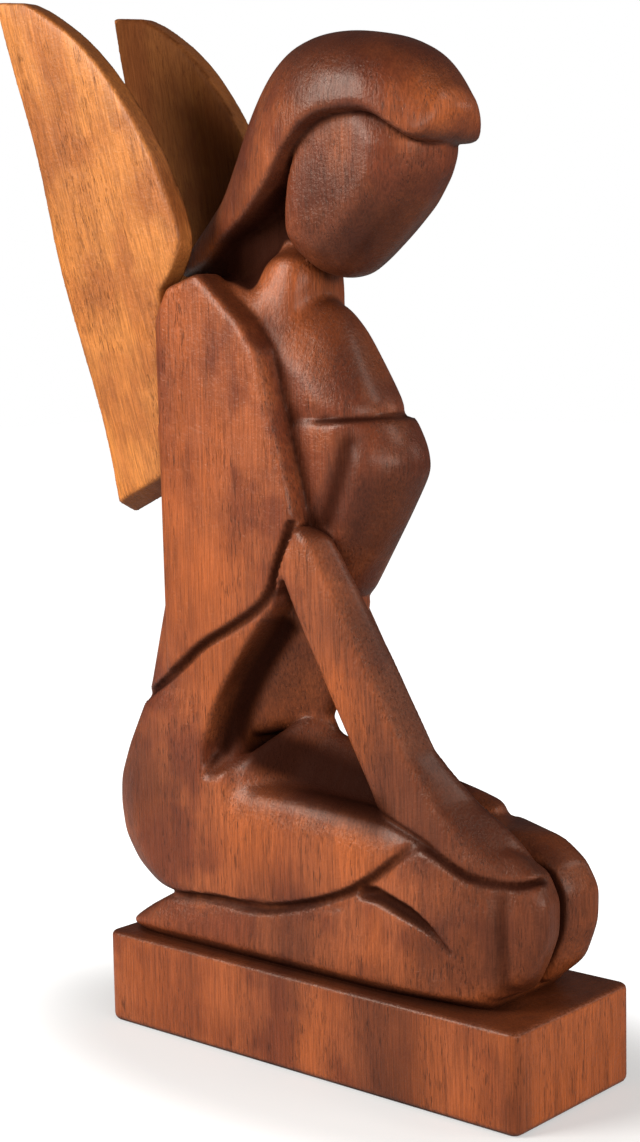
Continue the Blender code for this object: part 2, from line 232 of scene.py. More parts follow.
def blurred(values, sigma_cells):
    """Gaussian blur along all three directions, edges held."""
    if sigma_cells < 0.3:
        return values
    reach = int(math.ceil(2.6 * sigma_cells))
    taps = np.exp(-0.5 * (np.arange(-reach, reach + 1) / sigma_cells) ** 2)
    taps = (taps / taps.sum()).astype(np.float32)
    for axis in range(3):
        pads = [(0, 0)] * 3
        pads[axis] = (reach, reach)
        wide = np.pad(values, pads, mode="edge")
        total = np.zeros_like(values)
        length = values.shape[axis]
        for i, tap in enumerate(taps):
            cut = [slice(None)] * 3
            cut[axis] = slice(i, i + length)
            total += tap * wide[tuple(cut)]
        values = total
    return values


def even_slope(values, step):
    """Divides an implicit function by its slope, which makes it close to a distance."""
    slopes = np.gradient(values, step)
    size = np.sqrt(sum(s * s for s in slopes))
    return values / np.maximum(size, 1e-3)


def hull_planes(points):
    """Outward planes (normal, offset) of the convex hull of points."""
    bm = bmesh.new()
    for p in points:
        bm.verts.new(p)
    bmesh.ops.convex_hull(bm, input=bm.verts[:], use_existing_faces=False)
    middle = sum((Vector(p) for p in points), Vector()) / len(points)
    found = {}
    for face in bm.faces:
        normal = face.normal.normalized()
        offset = normal.dot(face.verts[0].co)
        if normal.dot(middle) > offset:
            normal, offset = -normal, -offset
        if face.calc_area() > 1e-4:
            found[tuple(round(c, 3) for c in (*normal, offset))] = (normal, offset)
    bm.free()
    return list(found.values())


def add_hulls(field, hulls, soft, blend=0.6, grow=0.0):
    """Joins convex masses, each given by its corners. Their arrises, and the inner corners
    where they meet each other, are softened by soft millimetres."""
    spots = np.array([p for points in hulls for p in points], float)
    margin = blend + 2.5 * soft + 2.0
    window = field.window(spots.min(0) - margin, spots.max(0) + margin)
    x, y, z = field.places(window)
    group = None
    for points in hulls:
        mass = None
        for normal, offset in hull_planes(points):
            flat = normal.x * x + normal.y * y
            plane = flat + (normal.z * z - np.float32(offset + grow))
            mass = plane if mass is None else np.maximum(mass, plane, out=mass)
        group = mass if group is None else np.minimum(group, mass)
    group = blurred(group.astype(np.float32), soft / field.step)
    field.join(window, group, blend)


def cut_hull(field, points, soft):
    """Removes a convex space, given by its corners."""
    spots = np.array(points, float)
    window = field.window(spots.min(0) - 2.5 * soft, spots.max(0) + 2.5 * soft)
    x, y, z = field.places(window)
    space = None
    for normal, offset in hull_planes(points):
        plane = normal.x * x + normal.y * y + (normal.z * z - np.float32(offset))
        space = plane if space is None else np.maximum(space, plane)
    field.cut(window, blurred(space.astype(np.float32), soft / field.step), 2.0)


def smooth_path(points, rounds=2):
    """Corner-cutting, which keeps a long curve's shape and rounds its joints."""
    for _ in range(rounds):
        finer = [points[0]]
        for a, b in zip(points, points[1:]):
            finer.append(tuple(0.75 * p + 0.25 * q for p, q in zip(a, b)))
            finer.append(tuple(0.25 * p + 0.75 * q for p, q in zip(a, b)))
        finer.append(points[-1])
        points = finer
    return points


def polyline_distance(x, y, z, path):
    """Distance to the nearest piece of a path of straight pieces."""
    best = None
    for a, b in zip(path, path[1:]):
        ab = [q - p for p, q in zip(a, b)]
        length = sum(c * c for c in ab)
        t = ((x - a[0]) * ab[0] + (y - a[1]) * ab[1] + (z - a[2]) * ab[2]) / length
        t = np.clip(t, 0.0, 1.0)
        gap = (x - a[0] - t * ab[0]) ** 2 + (y - a[1] - t * ab[1]) ** 2
        gap = gap + (z - a[2] - t * ab[2]) ** 2
        best = gap if best is None else np.minimum(best, gap)
    return np.sqrt(best)


def add_groove(field, path, half_width, depth, stain_and_shade=1.0, taper=0.0):
    """Lowers the surface in a V along a path that lies on it, and darkens it there with staining
    and painted shade. It narrows over the last taper millimetres."""
    path = smooth_path(path)
    spots = np.array(path, float)
    margin = half_width / FLATTER + 1.0
    window = field.window(spots.min(0) - margin, spots.max(0) + margin)
    x, y, z = field.places(window)
    flat = [(px, FLATTER * py, pz) for px, py, pz in path]
    away = polyline_distance(x, FLATTER * y, z, flat)
    if taper:
        end = path[-1]
        to_end = np.sqrt((x - end[0]) ** 2 + (y - end[1]) ** 2 + (z - end[2]) ** 2)
        away = away / np.clip(to_end / taper, 0.35, 1.0)
    field.value[window] += depth * np.clip(1.0 - away / half_width, 0.0, 1.0)
    left = stain_and_shade * np.clip(STAIN_AND_SHADE_FULL - (away - STAIN_AND_SHADE_SPREAD) / half_width, 0.0, 1.0)
    field.stain_and_shade[window] = np.maximum(field.stain_and_shade[window], left)


def smooth_value(stations, column, x):
    """Cubic through one column of the stations, with slopes taken from the neighbours."""
    xs = np.array([s[0] for s in stations])
    ys = np.array([s[column] for s in stations])
    slopes = np.gradient(ys, xs)
    i = np.clip(np.searchsorted(xs, x) - 1, 0, len(xs) - 2)
    gap = xs[i + 1] - xs[i]
    t = np.clip((x - xs[i]) / gap, 0.0, 1.0)
    first = (1 + 2 * t) * (1 - t) ** 2 * ys[i] + t * (1 - t) ** 2 * gap * slopes[i]
    return first + t * t * (3 - 2 * t) * ys[i + 1] - t * t * (1 - t) * gap * slopes[i + 1]


# ------------------------ the masses

def mirrored(points):
    """The points of one side, and the same on the other."""
    return list(points) + [(x, -y, z) for x, y, z in points]


def side_points(points, side):
    return [(x, side * y, z) for x, y, z in points]


def back_corner(outline, half_width):
    """Corners of a back given by x, z and the radius of its rounded rear edge."""
    points = []
    for x, z, radius in outline:
        for turn in (0, 45, 90):
            a = math.radians(turn)
            across = half_width - radius + radius * math.sin(a)
            points.append((x + radius - radius * math.cos(a), across, z))
    return points


def arm_x(x, z, side):
    """The left arm is set back: its sleeve narrows towards the elbow."""
    if side < 0:
        return x
    drop = min(1.0, max(0.0, (200.0 - z) / 50.0))
    return SLEEVE_REAR + (x - SLEEVE_REAR) * (1.0 - 0.5 * drop)


def add_lower_trunk(field):
    """Hips, waist, thighs, the ridges of the lap, and the hollows cut under the arms."""
    hips = back_corner(HIP_BACK, SIDE_FACE)
    hips += [(-42, 22.3, 88), (-39, 22.6, 75), (-30, 22.6, 70), (-20, 22.6, 43), (-34, 21.4, 99)]
    hips += back_corner([(-61, 102, 10)], SIDE_FACE - 0.8)
    waist = back_corner(WAIST_BACK, SIDE_FACE - 1.4)
    waist += [(-39, 21.5, 84), (-38, 21.5, 90), (-31.8, 21, 100), (-21, 21, 115.3)]
    waist += [(-13.4, 20.8, 126.8), (-7.5, 20.8, 132.5)]
    thigh = (
        (-34, 22.6, 68), (0, 22.6, 67), (25, 22, 66), (39, 21, 66), (-34, 22.6, 43),
        (-30, 20.5, 75), (0, 20.3, 75), (25, 19.6, 73.8), (39.5, 19, 71),
        (-26, 15.5, 77), (0, 15, 77), (25, 14.5, 75.8), (40, 15, 73),
        (-2, 22.6, 45.5), (18, 22.5, 54), (28, 22, 61), (-30, 4, 71), (0, 4, 70),
        (25, 3, 69), (52, 4, 69), (50, 15, 66), (50, 10, 45),
    )
    abdomen = (
        (-8, 1, 99.5), (-7, 1, 94), (-19, 5, 92), (-28, 8.5, 90), (-38, 10, 86), (6, 3.5, 130),
        (-3, 12, 130), (-45, 14, 130), (-48, 12, 86),
    )
    ridge = (
        (-8.5, 0.5, 98.8), (-12.5, 6, 95.3), (-19, 11, 90.7), (-24, 16, 86), (-30, 20, 79.5),
        (-36, 22, 75), (-6, 0.5, 92.5), (-10, 6, 89.5), (-16, 12, 85.5), (-21, 16.5, 81),
        (-26, 20.5, 76), (-10, 11, 72), (-40, 19, 70), (-3, 0.5, 80),
    )
    lap = (
        (-6, 0.5, 91.5), (-1.5, 0.5, 90), (20, 1, 83.5), (45, 2, 75), (-2, 7, 85), (20, 8, 75),
        (45, 6, 69), (-10, 11, 72), (-40, 19, 70), (-30, 14, 79),
    )
    lower = [mirrored(hips), mirrored(waist), list(thigh), side_points(thigh, -1)]
    add_hulls(field, lower + [mirrored(ridge), mirrored(lap)], 1.9, grow=0.35)
    add_hulls(field, [mirrored(abdomen)], 1.6, 1.2, 0.2)
    for side in (-1, 1):
        cut_hull(field, side_points(CAVITY, side), 1.8)


def add_upper_trunk(field):
    """Back, bust and chest."""
    upper = back_corner(UPPER_BACK, SIDE_FACE - 0.6)
    upper += [(-30, 18, 205), (-36, 19, 216), (-38, 17, 219), (-24, 18, 130), (-24, 18, 198)]
    add_hulls(field, [mirrored(upper)], 2.0, grow=0.3)
    bust = (
        (23.7, 3, 171.2), (21.3, 9, 171.2), (14.7, 14.6, 170.5), (19.2, 3, 179.8),
        (16.8, 9, 179.8), (10, 14.8, 179.8), (24.8, 3, 165.2), (22.4, 9, 165.2),
        (15.4, 14.6, 166), (-34, 16, 179.8), (-34, 16, 130), (9.5, 13.5, 151),
        (17.8, 4, 151), (5, 3.5, 130), (-3, 12, 130),
    )
    add_hulls(field, [mirrored(bust)], 2.0, 1.5, 0.5)
    chest = (
        (18, 3, 179), (15.6, 9, 179), (8.8, 13.6, 179), (11.8, 3, 190), (9, 9, 190),
        (2.4, 12.8, 190), (5.2, 3, 202), (2, 8, 202), (-6.5, 11, 202), (0, 2, 209.5),
        (-28, 12, 212), (-34, 16, 218), (-34, 16, 178), (-6, 15, 178),
    )
    add_hulls(field, [mirrored(chest)], 2.4, 0.8, 0.5)


def add_neck(field):
    neck = (
        (-6.5, 2.5, 206), (-5.5, 3, 222), (-9, 12, 206), (-7.5, 10, 214), (-8, 9.5, 222.5),
        (-12, 10, 224.5), (-17, 9.5, 224), (-24, 8.5, 218), (-22, 13.5, 208), (-30, 4, 218),
    )
    nape = (
        (-8, 2.5, 208), (-50, 2.5, 208), (-53, 1.5, 224), (-30, 2, 238), (-14, 4, 250),
        (-4, 4, 250),
    )
    add_hulls(field, [mirrored(neck), mirrored(nape)], 2.4, 2.5, 0.4)


def add_legs(field):
    calves = (
        (-67, 14, 26.5), (-72.5, 16, 29.5), (-70, 21, 30), (-58, 19, 26.5), (-60, 23, 31),
        (-62, 19, 36), (-50, 20, 42.5), (-4, 21.8, 44), (18, 21.8, 49), (20, 23, 31),
        (20, 19, 26.5), (57, 14, 26.5), (61, 17, 30.5), (48, 22.5, 31), (49, 21, 43),
    )
    add_hulls(field, [mirrored(calves)], 1.1, 0.6, 0.2)
    for side in (-1, 1):
        knee = (
            (22, 21.5, 53), (34, 22, 65), (41, 21, 70), (54.5, 20.3, 62), (60.5, 19.8, 52.5),
            (60.5, 18, 31), (63.5, 2.2, 31), (67.5, 1.4, 39), (70.5, 1.2, 47),
            (70.8, 1.2, 56), (67.5, 1.4, 63), (74.3, 12, 57), (74, 12, 48), (70, 12, 38),
            (71, 11, 64), (64, 11, 69), (50, 4, 70), (24, 1, 60), (24, 1, 31), (30, 21, 31),
            (54, 21.6, 50), (50, 22, 44), (34, 22.8, 50),
        )
        hock = (
            (12, 21.8, 46), (16, 21.9, 52), (22, 21.9, 54.5), (30, 21.9, 51), (30, 21.9, 44),
            (12, 15, 46), (16, 15, 52), (22, 15, 54.5), (30, 15, 51), (30, 15, 44),
        )
        masses = [side_points(knee, side), side_points(hock, side)]
        add_hulls(field, masses, 1.5, 0.6, 0.35)


def add_arm(field, side):
    """Sleeve, forearm and hand. The left forearm lies further back, and its hand on the lap."""
    points = []
    for x, z in SLEEVE:
        placed = arm_x(x, z, side)
        points += [(placed, side * (SIDE_FACE + 0.2), z), (placed, side * 12.5, z)]
    add_hulls(field, [points], 1.1, 0.6, 0.2)
    forearm = (
        (-6, 22.8, 138), (-0.8, 21.5, 151.5), (3.2, 22.3, 148.5), (6.8, 22.3, 142.5),
        (10.6, 14, 143), (6.5, 15, 150.5), (0, 15, 152), (-4, 13, 140),
        (22.3, 19.4, 81.6), (25.3, 19.4, 76), (39.2, 19.4, 83.8), (42.5, 9.5, 85.3),
        (22.6, 20.8, 112.8), (25.8, 11, 115), (10.3, 21.4, 107.8), (20, 10, 80),
    )
    if side < 0:
        hand = (
            (22.3, 19.4, 81.6), (25.3, 19.4, 75), (39.2, 19.4, 83.8), (42.5, 8, 85.3),
            (33, 19.6, 72.4), (46.5, 19.4, 67), (53, 19, 63), (59, 18.4, 62.4), (63, 11, 62.5),
            (65.5, 5, 63), (67, 3.6, 65.5), (59.5, 5.5, 73.2), (49, 7, 79.8), (20, 8, 78),
            (61.5, 15, 65.5),
        )
    else:
        hand = (
            (-5, 19, 80), (-2, 10, 80), (6, 19, 80.5), (8, 10, 82.5), (-5, 19, 70), (-2, 9, 70),
            (25, 14, 78.2), (34, 14, 77.2), (41, 14, 75.2), (27, 8.5, 76.5), (42, 8.5, 73.5),
            (24, 20, 75.5), (39, 19, 72.5), (43.5, 13, 71.5), (42, 9, 69), (41, 18, 69),
        )
    placed = side_points(forearm, side)
    if side > 0:
        lean = LEFT_FOREARM_LEAN
        placed = [(x - LEFT_FOREARM_BACK - lean * (z - WRIST_MIDDLE), y, z) for x, y, z in placed]
        placed = [(x, y, z + LEFT_WRIST_LIFT if z < WRIST_TOP else z) for x, y, z in placed]
    masses = [placed, side_points(hand, side)]
    if side < 0:
        wrist = (
            (34.5, 19.4, 92.3), (38, 9.7, 93.2), (47.5, 19.2, 75), (51.5, 6.8, 78), (30, 19.4, 80),
            (30, 9, 80),
        )
        masses.append(side_points(wrist, side))
    add_hulls(field, masses, 1.2, 0.6, 0.2)


def add_head(field):
    """A plain smooth head: a shield-shaped front, bowed forward, over a flat chin."""
    head = (
        (36, 1, 250), (35, 1, 243.5), (30, 1, 236.3), (22.5, 1, 229), (15, 1, 222.5),
        (9.5, 1, 218), (4, 1, 217), (-2, 2, 217.6),
        (33, 9.5, 250), (30.5, 9.5, 243), (25.5, 9.5, 235.8), (18, 9.5, 229), (10.5, 9, 222.8),
        (5, 7.5, 218.8), (-3, 8, 219.5),
        (24, 15, 251), (22, 15, 242.5), (16.5, 15, 235), (9.5, 14.6, 229.5), (2, 13, 224.5),
        (15, 15.4, 261), (2, 15.4, 260), (-4, 15.2, 252), (-7.5, 15, 243.5), (-9, 14.6, 236),
        (-9.8, 13.8, 229.5), (-8, 11.5, 225), (32, 1, 262), (28, 10, 262), (20, 13, 262),
    )
    add_hulls(field, [mirrored(head)], 1.7, 0.6, 0.3)


def add_hood(field):
    """The hood of hair, lofted through its stations, with a flatter rim below."""
    window = field.window((-68, -26, 212), (50, 26, 290))
    x, y, z = field.places(window)
    low = smooth_value(HOOD, 1, x)
    high = smooth_value(HOOD, 2, x)
    half = smooth_value(HOOD, 3, x)
    rise = z - low - HOOD_RIM
    v = np.where(rise > 0, rise / (high - low - HOOD_RIM), rise / -HOOD_RIM)
    oval = (np.abs(y) / half) ** HOOD_OVAL + np.abs(v) ** HOOD_OVAL
    shape = oval ** (1 / HOOD_OVAL) - 1.0
    shape = even_slope(shape, field.step)
    ends = np.maximum(HOOD[0][0] - x, x - HOOD[-1][0])
    shape = np.maximum(shape, ends)
    field.join(window, blurred(shape.astype(np.float32), 0.9 / field.step), 1.0)


def wing_outer(z):
    """How far out a wing's outer face is, at a height."""
    return WING_ROOT_OUTER + WING_LEAN * (z - WING_FOOT_Z)


def stain_and_shade_recess(field):
    """Dark staining and painted shade in the deep recess under the hood's rim, behind the head."""
    x, y, z = field.places()
    under_rim = np.clip((smooth_value(HOOD, 1, x) + 1.5 - z) / 2.5, 0.0, 1.0)
    floor = RECESS_FLOOR + np.clip(2.8 * (x + 18), -14, 0)
    above_neck = np.clip((z - floor) / 3.0, 0.0, 1.0)
    behind_head = np.clip((RECESS_FRONT - x) / 4.0, 0.0, 1.0)
    between = np.clip((RECESS_HALF - np.abs(y)) / 2.0, 0.0, 1.0)
    field.stain_and_shade = np.maximum(field.stain_and_shade, under_rim * above_neck * behind_head * between)


def paint_knee_gap_shade(field):
    """Painted shade in the narrow gap between the knees."""
    x, y, z = field.places()
    across = np.clip((KNEE_GAP_HALF - np.abs(y)) / 0.9, 0.0, 1.0)
    forward = np.clip((x - KNEE_GAP_REAR) / 4.0, 0.0, 1.0)
    upright = (z < KNEE_GAP_HIGH) * (z > KNEE_GAP_LOW)
    field.stain_and_shade = np.maximum(field.stain_and_shade, across * forward * upright)


def cut_grooves(field, side):
    """The V grooves and flutes of one side, with staining and painted shade in them, and bands of
    painted shade along its valleys.
    """
    face = side * SIDE_FACE
    sleeve_end = [(arm_x(x, z, side), face, z) for x, z in SLEEVE_END]
    sleeve_end.insert(0, (-63, side * 18.5, 97.5))
    add_groove(field, sleeve_end, 1.35, 5.2)
    add_groove(field, [(x, face, z) for x, z in THIGH_END], 1.4, 5.0)
    calf_line = [(x, face - side * 0.4, z) for x, z in CALF_LINE]
    add_groove(field, calf_line, 2.5, 3.4, taper=16.0)
    for path, half_width, depth, stain_and_shade in FLUTES:
        add_groove(field, side_points(path, side), half_width, depth, stain_and_shade)
    add_groove(field, side_points(NECKLINE, side), 1.1, 1.3, 0.85)
    # bands of painted shade only, with no depth, along the lap's valley and the floor of the hollow
    # under the arm
    add_groove(field, side_points(LAP_VALLEY, side), 10.0, 0.0, 0.95)
    add_groove(field, side_points(CAVITY_FLOOR, side), 5.5, 0.0, 0.8)
    if side < 0:
        add_groove(field, side_points(HAND_EDGE, side), 1.3, 2.0, 0.8)


def cut_housing(field, side):
    """The shallow housing that a wing stands in, with its glue gap."""
    window = field.window((-80, -27, 150), (SEAT_FACE + 2, 27, 245))
    x, y, z = field.places(window)
    from_middle = np.abs(side * y - wing_outer(z) + WING_THICKNESS / 2)
    board = from_middle - WING_THICKNESS / 2 - GLUE_GAP
    housing = np.maximum(board, x - SEAT_FACE - GLUE_GAP)
    foot = WING_FOOT_Z + HOUSING_RISE - z - 0.35 * (x - SEAT_FACE)
    field.cut(window, np.maximum(housing, foot), 0.3)


def figure_field():
    """The whole block but its plinth."""
    field = Field(BODY_LOW, BODY_HIGH, BODY_STEP)
    add_lower_trunk(field)
    add_upper_trunk(field)
    add_neck(field)
    add_legs(field)
    for side in (-1, 1):
        add_arm(field, side)
    add_head(field)
    add_hood(field)
    stain_and_shade_recess(field)
    paint_knee_gap_shade(field)
    for side in (-1, 1):
        cut_grooves(field, side)
        cut_housing(field, side)
    return field


# ------------------------ a surface through a field

def sampled(field, values, places):
    """Linear interpolation of grid values at places, in millimetres."""
    corner, part = [], []
    for axis in range(3):
        spot = (places[:, axis] - field.axes[axis][0]) / field.step
        base = np.clip(np.floor(spot).astype(int), 0, len(field.axes[axis]) - 2)
        corner.append(base)
        part.append(np.clip(spot - base, 0.0, 1.0))
    total = 0.0
    for i in (0, 1):
        for j in (0, 1):
            for k in (0, 1):
                weight = (part[0] if i else 1 - part[0]) * (part[1] if j else 1 - part[1])
                weight = weight * (part[2] if k else 1 - part[2])
                total = total + weight * values[corner[0] + i, corner[1] + j, corner[2] + k]
    return total


def surface(field):
    """One vertex for each cell that the surface crosses, and one quad for each crossed edge."""
    f = field.value
    inside = f < 0
    shape = tuple(n - 1 for n in f.shape)
    count = np.zeros(shape, np.int8)
    for i in (0, 1):
        for j in (0, 1):
            for k in (0, 1):
                count += inside[i:i + shape[0], j:j + shape[1], k:k + shape[2]]
    cells = np.argwhere((count > 0) & (count < 8))
    number = np.full(shape, -1, np.int32)
    number[tuple(cells.T)] = np.arange(len(cells))
    total = np.zeros((len(cells), 3))
    crossings = np.zeros(len(cells))
    for axis in range(3):
        others = [a for a in range(3) if a != axis]
        for u in (0, 1):
            for v in (0, 1):
                start = cells.copy()
                start[:, others[0]] += u
                start[:, others[1]] += v
                end = start.copy()
                end[:, axis] += 1
                a, b = f[tuple(start.T)], f[tuple(end.T)]
                crossed = (a < 0) != (b < 0)
                t = np.where(crossed, a / np.where(crossed, a - b, 1.0), 0.0)
                spot = start.astype(float)
                spot[:, axis] += t
                total += spot * crossed[:, None]
                crossings += crossed
    origin = np.array([axis[0] for axis in field.axes])
    places = origin + field.step * total / crossings[:, None]
    quads = []
    for axis in range(3):
        u, v = [a for a in range(3) if a != axis]
        here = [slice(None)] * 3
        there = [slice(None)] * 3
        here[axis], there[axis] = slice(None, -1), slice(1, None)
        a, b = inside[tuple(here)], inside[tuple(there)]
        edges = np.argwhere(a != b)
        keep = (edges[:, u] > 0) & (edges[:, v] > 0)
        keep &= (edges[:, u] < f.shape[u] - 1) & (edges[:, v] < f.shape[v] - 1)
        edges = edges[keep]
        ring = []
        for du, dv in ((-1, -1), (0, -1), (0, 0), (-1, 0)):
            cell = edges.copy()
            cell[:, u] += du
            cell[:, v] += dv
            ring.append(number[tuple(cell.T)])
        ring = np.stack(ring, 1)
        out = a[tuple(edges.T)] ^ (axis == 1)
        ring[~out] = ring[~out][:, ::-1]
        quads.append(ring)
    return places, np.concatenate(quads)


def settled(field, places, rounds=3):
    """Moves the vertices onto the field's zero."""
    slopes = [s.astype(np.float32) for s in np.gradient(field.value, field.step)]
    for _ in range(rounds):
        value = sampled(field, field.value, places)
        slope = np.stack([sampled(field, s, places) for s in slopes], 1)
        size = np.maximum((slope ** 2).sum(1), 0.2)
        move = -(value / size)[:, None] * slope
        places = places + np.clip(move, -0.5 * field.step, 0.5 * field.step)
    return places


def add_attributes(mesh, field, places):
    """How far each place sits in hollows and creases or stands proud, for gathered staining,
    painted shade and wear; the staining and painted shade along grooves; and the patches of warmer
    wood and painted light, and of duller wood and painted shade."""
    amounts = {"groove": sampled(field, field.stain_and_shade, places)}
    for attribute, patches in (("warm_and_lit", WARM_AND_LIT_PATCHES), ("dull_and_shaded", DULL_AND_SHADED_PATCHES)):
        amounts[attribute] = np.zeros(len(places))
        for x, y, z, reach in patches:
            away = ((places - (x, y, z)) ** 2).sum(1) / (reach * reach)
            amounts[attribute] += np.exp(-away)
    # hollows and creases: gathered stain and painted shade, like ambient occlusion; proud arrises:
    # wear
    for attribute, spread, sign in (("hollow_stain_and_shade", 5.5, 1), ("seam_stain_and_shade", 1.7, 1), ("proud", 1.6, -1)):
        around = blurred(field.share, spread / field.step)
        amounts[attribute] = 2.0 * sign * (sampled(field, around, places) - 0.5)
    for attribute, amount in amounts.items():
        layer = mesh.attributes.new(attribute, "FLOAT", "POINT")
        layer.data.foreach_set("value", np.clip(amount, 0.0, 1.0).astype(np.float32))


def make_piece(name, field, material, solid=None):
    """The piece's mesh and its attributes. solid marks wood that touches the piece but is
    not in its field, so that the joint doesn't look like an arris."""
    places, quads = surface(field)
    places = settled(field, places)
    mesh = bpy.data.meshes.new(name)
    mesh.vertices.add(len(places))
    mesh.vertices.foreach_set("co", (places * MM).astype(np.float32).ravel())
    mesh.loops.add(quads.size)
    mesh.loops.foreach_set("vertex_index", quads.astype(np.int32).ravel())
    mesh.polygons.add(len(quads))
    mesh.polygons.foreach_set("loop_start", np.arange(0, quads.size, 4, dtype=np.int32))
    mesh.polygons.foreach_set("loop_total", np.full(len(quads), 4, np.int32))
    mesh.update(calc_edges=True)
    mesh.shade_smooth()
    wood_share = np.clip(0.5 - field.value / field.step, 0.0, 1.0)
    if solid is not None:
        wood_share = np.maximum(wood_share, solid)
    field.share = wood_share
    add_attributes(mesh, field, places)
    mesh.materials.append(material)
    thing = bpy.data.objects.new(name, mesh)
    bpy.context.scene.collection.objects.link(thing)
    return thing


def plinth_share(field):
    """1 where the plinth's wood is, and 0 elsewhere."""
    x, y, z = field.places()
    inside = (np.abs(x) < PLINTH_LENGTH / 2) & (np.abs(y) < PLINTH_WIDTH / 2)
    return (inside & (z < PLINTH_HEIGHT)).astype(np.float32)


# ------------------------ wings

def outline_distance(x, z, outline):
    """Signed distance to a closed outline in the x z plane, negative inside."""
    best = np.full(np.broadcast(x, z).shape, 1e9)
    inside = np.zeros(best.shape, bool)
    for (ax, az), (bx, bz) in zip(outline, outline[1:] + outline[:1]):
        ex, ez = bx - ax, bz - az
        t = np.clip(((x - ax) * ex + (z - az) * ez) / (ex * ex + ez * ez), 0.0, 1.0)
        best = np.minimum(best, (x - ax - t * ex) ** 2 + (z - az - t * ez) ** 2)
        crosses = (az > z) != (bz > z)
        at = ax + (z - az) * ex / (ez if abs(ez) > 1e-9 else 1e-9)
        inside ^= crosses & (x < at)
    return np.where(inside, -1.0, 1.0) * np.sqrt(best)


def wing_field(side):
    """A board that leans out, with crowned faces, soft arrises and a sawn foot."""
    outer_low, outer_high = wing_outer(WING_FOOT_Z - 8), wing_outer(WING_TOP_Z)
    low = (-113, outer_low - WING_THICKNESS - 2, 147)
    high = (-40, outer_high + 2, 303)
    field = Field(low, high, WING_STEP)
    x, y, z = field.places()
    outline = smooth_path(WING_REAR) + [WING_FRONT[0]] + smooth_path(WING_FRONT[1:])
    edge = outline_distance(x[:, 0, :], z[:, 0, :], outline)[:, None, :]
    inward = np.clip(-edge, 0.0, WING_CROWN_REACH)
    crown = WING_CROWN * (1.0 - inward / WING_CROWN_REACH) ** 2
    middle = wing_outer(z) - WING_THICKNESS / 2
    faces = np.abs(y - middle) - WING_THICKNESS / 2 + crown
    inner = np.clip(wing_outer(z) - y, 0.0, WING_THICKNESS)
    foot = 0.85 * (WING_FOOT_CUT + (x - WING_REAR_X) * WING_FOOT_RISE - z - 0.6 * inner)
    board = np.maximum(np.maximum(edge, faces), foot)
    field.value = blurred(board.astype(np.float32), WING_SOFT / WING_STEP)
    # painted shade on each board's inner face, where the other board and the body shade it
    field.stain_and_shade += 0.62 * (wing_outer(z) - y > WING_THICKNESS - 1.5)
    if side < 0:
        field.axes[1] = -field.axes[1][::-1]
        field.value = field.value[:, ::-1, :].copy()
        field.stain_and_shade = field.stain_and_shade[:, ::-1, :].copy()
    return field


# ------------------------ wood

PITH_BEHIND = 0.16        # metres from the origin to the tree's pith, towards the back
BUMP_DEPTH = 0.0006


class Nodes:
    """Short calls for building a material's nodes."""

    def __init__(self, name):
        self.material = bpy.data.materials.new(name)
        self.material.use_nodes = True
        self.tree = self.material.node_tree
        self.shader = self.tree.nodes["Principled BSDF"]

    def add(self, kind, inputs=None, **settings):
        node = self.tree.nodes.new(kind)
        for key, value in settings.items():
            setattr(node, key, value)
        for key, value in (inputs or {}).items():
            self.put(node.inputs[key], value)
        return node

    def put(self, socket, value):
        if isinstance(value, bpy.types.NodeSocket):
            self.tree.links.new(value, socket)
        else:
            socket.default_value = value

    def math(self, operation, a, b, clamp=False):
        node = self.add("ShaderNodeMath", {0: a, 1: b}, operation=operation)
        node.use_clamp = clamp
        return node.outputs[0]

    def noise(self, vector, scale, detail=2.0, roughness=0.5, distortion=0.0):
        values = {"Vector": vector, "Scale": scale, "Detail": detail, "Roughness": roughness,
                  "Distortion": distortion}
        return self.add("ShaderNodeTexNoise", values).outputs["Fac"]

    def ramp(self, value, low, high, to_low=0.0, to_high=1.0):
        values = {"Value": value, "From Min": low, "From Max": high, "To Min": to_low,
                  "To Max": to_high}
        node = self.add("ShaderNodeMapRange", values, interpolation_type="SMOOTHSTEP")
        return node.outputs["Result"]

    def mix(self, share, a, b, blend="MIX"):
        node = self.add("ShaderNodeMix", data_type="RGBA", blend_type=blend)
        self.put(node.inputs["Factor"], share)
        self.put(node.inputs["A"], a)
        self.put(node.inputs["B"], b)
        return node.outputs["Result"]


